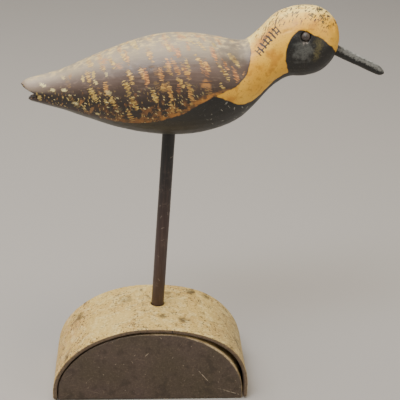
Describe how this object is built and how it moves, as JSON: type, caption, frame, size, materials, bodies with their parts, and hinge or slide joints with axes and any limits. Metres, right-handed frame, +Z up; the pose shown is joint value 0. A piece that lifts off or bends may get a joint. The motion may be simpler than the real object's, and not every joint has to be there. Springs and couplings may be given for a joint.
{
  "type": "shorebird decoy",
  "caption": "Carved, painted wooden shorebird decoy with a slim drooping peg bill, standing on a dowel in a half-oval wooden block under a bent strip.",
  "frame": {"origin": "middle of the block's flat underside", "axes": "+Z up, +X the way the bill points, -Y the side that faces the viewer"},
  "size_m": [0.2511, 0.0694, 0.2913],
  "materials": {
    "painted_body": "worn satin paint over carved wood",
    "painted_bill": "satin paint",
    "eye_bead": "polished",
    "stained_rod": "dark stain, satin",
    "dark_block": "dark stain, scratched",
    "cream_strip": "aged cream paint"
  },
  "bodies": {
    "root": {"bird_body": "painted_body", "bill": "painted_bill", "eye_left": "eye_bead", "eye_right": "eye_bead", "support_rod": "stained_rod", "base_block": "dark_block", "base_band": "cream_strip"}
  },
  "joints": []
}
